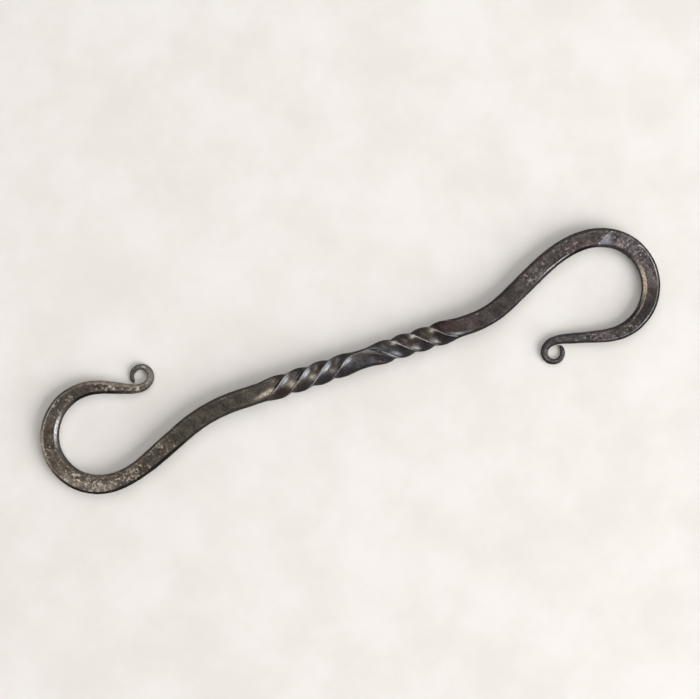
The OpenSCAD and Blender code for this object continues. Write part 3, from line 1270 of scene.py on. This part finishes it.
@dataclass(frozen=True)
class ForgedSteel:
    """Dark forge scale on hand-hammered steel, scuffed, flecked and a little rusty, with painted
    highlights and shade.
    """

    groups: Groups
    dark: Colour = rgba(80, 73, 68)
    brown: Colour = rgba(104, 94, 86)
    olive: Colour = rgba(114, 106, 93)
    plum: Colour = rgba(86, 77, 78)
    # Bluish patches and painted bluish reflections.
    blue: Colour = rgba(88, 91, 101)
    # Dark for the darker patches and for painted shade.
    soot_and_shade: Colour = rgba(38, 35, 36)
    # Painted shade, very dark.
    shade_black: Colour = rgba(10, 10, 13)
    tan: Colour = rgba(182, 162, 144)
    ash: Colour = rgba(149, 139, 138)
    pale: Colour = rgba(228, 218, 204)
    rust: Colour = rgba(68, 46, 40)
    hollow: Colour = rgba(50, 41, 38)
    # Rubbed crests and painted highlight lines.
    bright: Colour = rgba(236, 228, 224)
    glint: Colour = rgba(236, 234, 236)
    # Painted highlights on the twist's ridges.
    torn: Colour = rgba(166, 168, 172)
    # Painted warm highlights.
    gold: Colour = rgba(214, 186, 150)
    # Pale dusty spots and painted highlights; cream also lightens the painted warm highlights.
    sand: Colour = rgba(220, 205, 186)
    cream: Colour = rgba(248, 240, 228)
    # The hammer mark's facet: bare steel, and a painted highlight.
    blow_highlight: Colour = rgba(112, 111, 116)
    metal: float = 0.85
    smoothest: float = 0.36
    roughest: float = 0.46
    relief: float = 0.00012

    def material(self) -> Material:
        """Builds the finish as one material. Each look makes it duller and less of a metal.

        Returns:
            The material.
        """
        n = Finish("forged_steel_scale")
        m = self.maps(n)
        rough, metal = n.ramp(m.clouds, 0, 1, self.smoothest, self.roughest), self.metal
        for part, duller, less_metal in (
            (m.side, 0.2, 0.1), (m.slit_shade, 0.2, 0), (m.rubbed, 0, 0.75), (m.struck, 0.12, 0.2),
            (m.flecks, 0.2, 0.55), (m.rust, 0.2, 0.4), (m.dust_and_highlight, 0.2, 1), (m.gold, 0.15, 0.5),
            (m.shine, 0, 0.35), (m.torn, 0.15, 0.8),
        ):
            rough = n.maths("ADD", rough, n.times(part, duller))
            metal = n.times(metal, n.fade(part, 1, 1 - less_metal))
        grain = n.use(self.groups.grain, Cell=0.0006)[0]
        height = n.maths("SUBTRACT", grain, n.times(m.hollows, 0.5))
        relief = n.put(n.add("Bump"), Strength=0.6, Distance=self.relief, Height=height)
        normal, colour = relief.outputs["Normal"], self.colour(n, m)
        return n.close(Base_Color=colour, Roughness=rough, Metallic=metal, Normal=normal)

    def maps(self, n: Finish) -> SimpleNamespace:
        """The surface's own looks, broken up by fine textures.

        Args:
            n: the material's nodes.
        Returns:
            A socket for each look and each texture, by name.
        """
        g = self.groups
        m = SimpleNamespace(
            **{name: n.add("Attribute", attribute_name=name).outputs["Fac"] for name in ATTRIBUTES},
            clouds=n.use(g.mottle, Cell=0.004, Low=0.38, High=0.62)[0],
            speckle=n.use(g.mottle, Cell=0.00075, Low=0.32, High=0.68)[0],
            grit=n.use(g.mottle, Cell=0.00035, Low=0.3, High=0.7)[0],
            lines=n.use(g.scratches, Slant=0.9)[0],
            patches=n.use(g.mottle, Cell=0.0028, Low=0.36, High=0.6)[0],
        )
        cover = n.times(m.bare, n.fade(m.patches, 0.45, 1))
        marble = n.use(g.marble, Cell=0.0012, Cover=cover)
        m.flecks = n.times(marble["Light"], n.ramp(cover, 0, 0.3, 0.2, 1))
        m.flecks = n.times(m.flecks, n.fade(m.side, 0.9, 0.3))
        m.hollows = n.maths("MAXIMUM", n.times(marble["Dark"], 0.75), n.times(m.pits, 0.55))
        # Rubbed crests and painted highlight lines.
        m.rubbed = n.use(g.rubbed, Edge=m.edge, Amount=0.95)[0]
        # Fine noise that breaks up the painted highlights.
        m.worn = n.times(n.ramp(m.speckle, 0.1, 0.8, 0.4, 1), n.fade(m.grit, 0.7, 1))
        # Pale dusty spots and painted highlights, broken up by grit.
        m.dust_and_highlight = n.times(m.dust_and_highlight, n.fade(m.grit, 0.25, 1))
        # Painted warm highlights, broken up by fine noise.
        m.gold = n.times(m.gold, n.ramp(m.worn, 0.3, 0.8, 0.6, 1))
        # Painted highlights on the edges and ridges, broken up by fine noise.
        m.shine = n.times(n.ramp(m.shine, 0.15, 0.7), m.worn)
        # Painted shade, very dark, in the grooves and on parts of the edges.
        m.slit_shade = n.ramp(m.slit_shade, 0.2, 0.6, 0, 0.82)
        # Painted highlights on the twist's ridges, broken up by grit and scratches.
        m.torn = n.times(m.torn, n.ramp(m.grit, 0.1, 0.8, 0.55, 1))
        m.torn = n.times(m.torn, n.fade(m.lines, 0.75, 1.1))
        return m

    def colour(self, n: Finish, m: SimpleNamespace) -> Socket:
        """Layers: scale and painted shade, then bare steel, last spots, edges and painted
        highlights.

        Args:
            n: the material's nodes.
            m: the sockets that the layers read.
        Returns:
            The colour's socket.
        """
        tan = n.blend(n.ramp(m.grit, 0.3, 0.9), self.tan, self.pale)
        # The hammer mark's facet: bare steel, and a painted highlight.
        struck = n.blend(1, self.blow_highlight, n.grey(n.fade(m.lines, 0.88, 1.12)), "MULTIPLY")
        shade = n.times(n.fade(m.speckle, 0.8, 1.22), n.fade(m.grit, 0.84, 1.16))
        shade = n.times(shade, n.fade(m.lines, 0.9, 1.12))
        colour = n.blend(m.clouds, self.dark, self.brown)
        for part, laid in (
            (0.4, n.blend(m.warm_side, self.plum, self.olive)),
            # Bluish patches along the bar, and painted bluish reflections on the twist's faces.
            (n.times(m.cool, n.times(m.clouds, 0.8)), self.blue),
            # Painted shade: the edges outside the twist made darker.
            (n.times(m.side, 0.45), self.soot_and_shade),
            # Darker patches along the bar, and painted shade on the twist's faces.
            (n.times(m.soot_and_shade, 0.75), self.soot_and_shade),
            (n.times(m.rust, n.fade(m.patches, 0.35, 1)), self.rust),
        ):
            colour = n.blend(part, colour, laid)
        colour = n.blend(1, colour, n.grey(shade), "MULTIPLY")
        for part, laid in (
            (m.flecks, n.blend(m.warm_side, self.ash, tan)),
            (m.hollows, self.hollow),
            # The hammer mark's facet, painted lighter: bare steel, and a painted highlight.
            (n.times(m.struck, 0.9), struck),
            # Pale dusty spots, and painted highlights on the twist's ridges.
            (m.dust_and_highlight, n.blend(m.grit, self.sand, self.cream)),
            # Painted warm highlights on the bows' edges.
            (m.gold, n.blend(m.lines, self.gold, self.cream)),
            # Painted shade, very dark, in the twist's grooves and on parts of the edges.
            (m.slit_shade, self.shade_black),
            # Rubbed crests in the twist, and painted highlight lines on the edges.
            (m.rubbed, self.bright),
            # Painted highlights on the edges and on the twist's ridges.
            (m.shine, self.glint),
            # Painted highlights on the twist's ridges.
            (m.torn, self.torn),
        ):
            colour = n.blend(part, colour, laid)
        return colour


@dataclass(frozen=True)
class PaleFloor:
    """Finish of the pale floor that the hook lies on."""

    groups: Groups
    light: Colour = rgba(243, 239, 235)
    shade: Colour = rgba(235, 230, 225)

    def material(self) -> Material:
        """Builds a matt off-white with very faint clouds.

        Returns:
            The material.
        """
        n = Finish("pale_floor")
        clouds = n.use(self.groups.mottle, Cell=0.035, Low=0.3, High=0.7)[0]
        return n.close(Base_Color=n.blend(clouds, self.light, self.shade), Roughness=0.85)


# ---- studio


class Reach(Enum):
    """What a light is there for: whether it shades, and whether it shows in glossy steel."""

    SHADE = (True, False)
    GLOSS = (False, True)


class Lamp(Enum):
    """The soft lights of the studio.

    The values are the direction in the camera's view (0 is to the right, 90 is up), the height in
    degrees, the distance and size in metres, the power in watts, the colour, and the reach.
    """

    KEY = (-31, 37, 2.5, 2.2, 68, (1, 0.99, 0.98), Reach.SHADE)
    FILL = (90, 66, 2.4, 2.2, 23, (1, 0.99, 0.975), Reach.SHADE)
    HIGH = (90, 66, 2.4, 2.2, 32, (1, 0.99, 0.975), Reach.GLOSS)
    EVEN = (100, 24, 3, 1.2, 18, (0.95, 1, 0.96), Reach.GLOSS)
    COOL = (0, 36, 1.2, 0.7, 17, (0.92, 0.95, 1), Reach.GLOSS)
    WARM = (180, 18, 1.2, 0.7, 5, (1, 0.95, 0.86), Reach.GLOSS)


@dataclass
class Studio:
    """Floor, lights and camera, in metres. None of them belongs to the hook."""

    groups: Groups
    turn: float = -18.2027
    camera_height: float = 0.760
    plane_height: float = 0.004
    view_width: float = 0.2797
    sensor: float = 36
    aim: tuple[float, float] = (0.00135, 0.00522)
    floor_flat: float = 1.6
    floor_radius: float = 3.2
    floor_curl: float = 0.55
    floor_top: float = -0.00002
    world: float = 0.14
    world_colour: Colour = (0.98, 0.99, 1, 1)

    def floor(self) -> Object:
        """Makes the floor: a round sheet whose rim rises with the square of the distance.

        Returns:
            The floor.
        """
        flat = np.linspace(0, self.floor_flat, 9)[1:]
        radius = np.append(flat, np.linspace(self.floor_flat, self.floor_radius, 17)[1:])[:, None]
        angle = np.linspace(0, 2 * math.pi, 96, endpoint=False)
        rise = self.floor_curl * np.maximum(radius - self.floor_flat, 0) ** 2
        height = self.floor_top + rise
        grid = np.broadcast_arrays(radius * np.cos(angle), radius * np.sin(angle), height)
        rows, columns = grid[0].shape
        points = np.stack(grid, axis=2).reshape(-1, 3)
        vertices = np.concatenate([points, [[0, 0, self.floor_top]]])
        quads, middle = ring_quads(rows, columns), fan(columns, len(points), 0)
        floor = new_object("floor", vertices, quads, middle)
        floor.data.materials.append(PaleFloor(self.groups).material())
        floor.visible_glossy = False
        return floor

    def lamp(self, kind: Lamp, centre: Vector) -> None:
        """Puts up one soft light, aimed at the hook.

        Args:
            kind: which light.
            centre: the middle of the hook's box.
        """
        direction, height, distance, size, power, colour, reach = kind.value
        azimuth, rise = math.radians(direction + self.turn), math.radians(height)
        flat = math.cos(rise)
        away = Vector((math.cos(azimuth) * flat, math.sin(azimuth) * flat, math.sin(rise)))
        data = bpy.data.lights.new(f"light_{kind.name.lower()}", "AREA")
        data.shape, data.size, data.energy, data.color = "SQUARE", size, power, colour
        light = bpy.data.objects.new(data.name, data)
        light.location = centre + away * distance
        light.rotation_mode = "QUATERNION"
        light.rotation_quaternion = (-away).to_track_quat("-Z", "Y")
        light.visible_camera = False
        light.visible_diffuse, light.visible_glossy = reach.value
        bpy.context.scene.collection.objects.link(light)

    def camera(self, centre: Vector) -> None:
        """Puts the camera straight above the hook, turned so that the hook rises to the right.

        Args:
            centre: the middle of the hook's box.
        """
        data = bpy.data.cameras.new("camera")
        data.sensor_width = self.sensor
        data.lens = self.sensor * self.camera_height / self.view_width
        camera = bpy.data.objects.new("camera", data)
        height = self.plane_height + self.camera_height
        camera.location = (centre.x + self.aim[0], centre.y + self.aim[1], height)
        camera.rotation_euler = (0, 0, math.radians(self.turn))
        bpy.context.scene.collection.objects.link(camera)
        bpy.context.scene.camera = camera

    def build(self) -> None:
        """Sets up the whole studio round the hook's box."""
        low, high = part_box(NODE)
        centre = (low + high) / 2
        self.floor()
        for kind in Lamp:
            self.lamp(kind, centre)
        self.camera(centre)
        world = bpy.data.worlds.new("studio")
        world.use_nodes = True
        back = world.node_tree.nodes["Background"]
        back.inputs["Color"].default_value = self.world_colour
        back.inputs["Strength"].default_value = self.world
        bpy.context.scene.world = world
        bpy.context.scene.view_settings.view_transform = "Standard"
        log.info("studio: %d lights, floor and camera", len(Lamp))


def main() -> None:
    """Builds the hook and its studio."""
    logging.basicConfig(level=logging.INFO, format="%(name)s: %(message)s")
    groups = Groups()
    hook = ForgedHook()
    hook.build()
    hook.dress(ForgedSteel(groups))
    Studio(groups).build()


if __name__ == "__main__":
    main()
